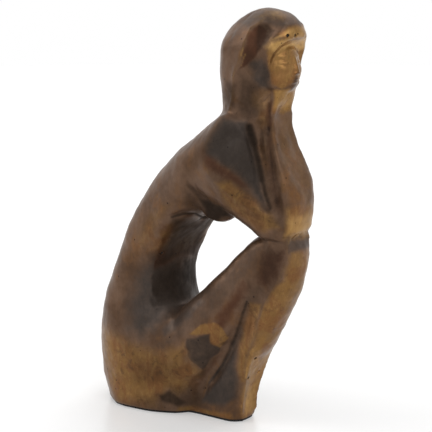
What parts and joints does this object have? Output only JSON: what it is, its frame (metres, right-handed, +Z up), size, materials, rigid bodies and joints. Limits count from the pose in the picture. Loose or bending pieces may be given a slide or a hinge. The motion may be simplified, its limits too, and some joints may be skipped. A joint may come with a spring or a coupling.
{
  "type": "seated woman statue",
  "caption": "Table bronze of a seated woman leaning forward with her chin in her hands and her elbows on her knees, with an open gap under the arms and a felted base.",
  "frame": {"origin": "on the surface it stands on, under the middle of the figure's length and width", "axes": "+X the way the figure faces, +Y to its left side, +Z up"},
  "size_m": [0.1801, 0.0806, 0.3032],
  "materials": {
    "bronze": "cast bronze, brown patina rubbed to gold on the edges",
    "braze": "bright bronze filler",
    "dowel": "turned bronze rod",
    "plug": "bronze, dark patina",
    "steel": "plain steel",
    "felt": "dark wool felt"
  },
  "bodies": {
    "root": {"lower_body_casting": "bronze", "torso_casting": "bronze", "head_casting": "bronze", "right_arm_casting": "bronze", "left_arm_casting": "bronze", "waist_seam": "braze", "neck_seam": "braze", "right_shoulder_seam": "braze", "left_shoulder_seam": "braze", "right_elbow_seam": "braze", "left_elbow_seam": "braze", "waist_dowel_1": "dowel", "waist_dowel_2": "dowel", "waist_dowel_3": "dowel", "waist_dowel_4": "dowel", "neck_dowel_1": "dowel", "neck_dowel_2": "dowel", "neck_dowel_3": "dowel", "right_shoulder_dowel": "dowel", "left_shoulder_dowel": "dowel", "right_elbow_dowel": "dowel", "left_elbow_dowel": "dowel", "core_plug_brow_right": "plug", "core_plug_brow_middle": "plug", "core_plug_shin_right": "plug", "core_plug_ankle_left": "plug", "core_plug_ankle_right": "plug", "core_plug_belly": "plug", "base_plate": "steel", "base_screw_right": "steel", "base_screw_left": "steel", "base_screw_front": "steel", "felt_pad": "felt"}
  },
  "joints": []
}
